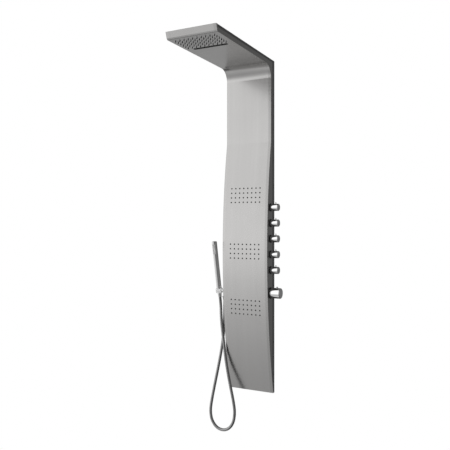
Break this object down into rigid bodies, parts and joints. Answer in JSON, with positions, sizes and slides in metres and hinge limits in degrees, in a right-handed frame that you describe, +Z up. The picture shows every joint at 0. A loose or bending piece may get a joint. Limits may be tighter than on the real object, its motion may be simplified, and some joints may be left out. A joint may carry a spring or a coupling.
{
  "type": "rainfall shower column",
  "caption": "Wall-hung bowed steel shower column with a rain and waterfall arm, body jets, side knobs, a thermostatic knob and a wand hand shower on a hose.",
  "frame": {"origin": "on the wall plane, in the middle of the four wall-screw holes", "axes": "+X to the right as the user faces the column, -Y out of the wall towards the user, +Z up"},
  "size_m": [0.3546, 0.56, 1.6979],
  "materials": {
    "front_steel": "satin brushed across the sheet",
    "side_steel": "satin brushed",
    "bracket_steel": "mill finish",
    "screw_steel": "plain",
    "nozzle_silicone": "matt",
    "chamber_plastic": "moulded",
    "lip_plastic": "moulded",
    "pipe_steel": "drawn",
    "valve_brass": "cast and machined",
    "spindle_brass": "turned",
    "polished_chrome": "polished",
    "scale_chrome": "satin",
    "wand_face_silicone": "matt",
    "core_plastic": "extruded",
    "hose_metal": "wound strip"
  },
  "bodies": {
    "column": {"front_sheet": "front_steel", "left_side_plate": "side_steel", "right_side_plate": "side_steel", "arm_top_cover": "side_steel", "cover_tabs": "bracket_steel", "top_cover_screws": "screw_steel", "foot_closure": "side_steel", "wall_brackets": "bracket_steel", "hanger_rails": "bracket_steel", "rain_nozzle_mat": "nozzle_silicone", "rain_chamber": "chamber_plastic", "waterfall_chamber": "chamber_plastic", "waterfall_lip": "lip_plastic", "jet_nozzle_mats": "nozzle_silicone", "jet_chambers": "chamber_plastic", "rain_pipe": "pipe_steel", "waterfall_pipe": "pipe_steel", "upper_jet_pipe": "pipe_steel", "middle_jet_pipe": "pipe_steel", "lower_jet_pipe": "pipe_steel", "hand_shower_pipe": "pipe_steel", "valve_manifold": "valve_brass", "inlet_tails": "valve_brass", "shutoff_cartridges": "valve_brass", "cartridge_nuts": "screw_steel", "knob_rings": "polished_chrome", "thermostatic_cartridge": "valve_brass", "temperature_ring": "polished_chrome", "handset_holder": "polished_chrome", "holder_nut": "screw_steel", "outlet_elbow": "polished_chrome", "outlet_hose_nut": "polished_chrome", "hose_lower": "hose_metal", "hose_upper": "hose_metal"},
    "rain_control": {"rain_knob": "polished_chrome", "rain_knob_pin": "polished_chrome", "rain_spindle": "spindle_brass"},
    "waterfall_control": {"waterfall_knob": "polished_chrome", "waterfall_knob_pin": "polished_chrome", "waterfall_spindle": "spindle_brass"},
    "upper_jets_control": {"upper_jets_knob": "polished_chrome", "upper_jets_knob_pin": "polished_chrome", "upper_jets_spindle": "spindle_brass"},
    "lower_jets_control": {"lower_jets_knob": "polished_chrome", "lower_jets_knob_pin": "polished_chrome", "lower_jets_spindle": "spindle_brass"},
    "hand_shower_control": {"hand_shower_knob": "polished_chrome", "hand_shower_knob_pin": "polished_chrome", "hand_shower_spindle": "spindle_brass"},
    "temperature_control": {"temperature_knob": "polished_chrome", "temperature_scale_ring": "scale_chrome", "temperature_spindle": "spindle_brass", "safety_button_spring": "screw_steel"},
    "stop_button": {"safety_button": "polished_chrome"},
    "handset": {"wand_tail": "polished_chrome", "wand_body": "polished_chrome", "wand_spray_face": "wand_face_silicone", "wand_core": "core_plastic", "wand_end_cap": "polished_chrome", "handset_hose_nut": "polished_chrome"}
  },
  "joints": [
    {"name": "rain_turn", "type": "hinge", "parent": "column", "child": "rain_control", "pos_m": [0.11, -0.04, 0.037], "axis": [1, 0, 0], "range_deg": [0, 90]},
    {"name": "waterfall_turn", "type": "hinge", "parent": "column", "child": "waterfall_control", "pos_m": [0.11, -0.04, -0.033], "axis": [1, 0, 0], "range_deg": [0, 90]},
    {"name": "upper_jets_turn", "type": "hinge", "parent": "column", "child": "upper_jets_control", "pos_m": [0.11, -0.04, -0.103], "axis": [1, 0, 0], "range_deg": [0, 90]},
    {"name": "lower_jets_turn", "type": "hinge", "parent": "column", "child": "lower_jets_control", "pos_m": [0.11, -0.04, -0.173], "axis": [1, 0, 0], "range_deg": [0, 90]},
    {"name": "hand_shower_turn", "type": "hinge", "parent": "column", "child": "hand_shower_control", "pos_m": [0.11, -0.04, -0.243], "axis": [1, 0, 0], "range_deg": [0, 90]},
    {"name": "temperature_turn", "type": "hinge", "parent": "column", "child": "temperature_control", "pos_m": [0.11, -0.04, -0.345], "axis": [1, 0, 0], "range_deg": [-135, 45]},
    {"name": "stop_button_press", "type": "slide", "parent": "temperature_control", "child": "stop_button", "axis": [0, 0, -1], "range_m": [0, 0.0025], "stiffness_N_per_m": 600, "springref_m": -0.002, "deforming": ["safety_button_spring"]},
    {"name": "handset_lift", "type": "slide", "parent": "column", "child": "handset", "axis": [0, -0.213, 0.977], "range_m": [0, 0.06]}
  ]
}
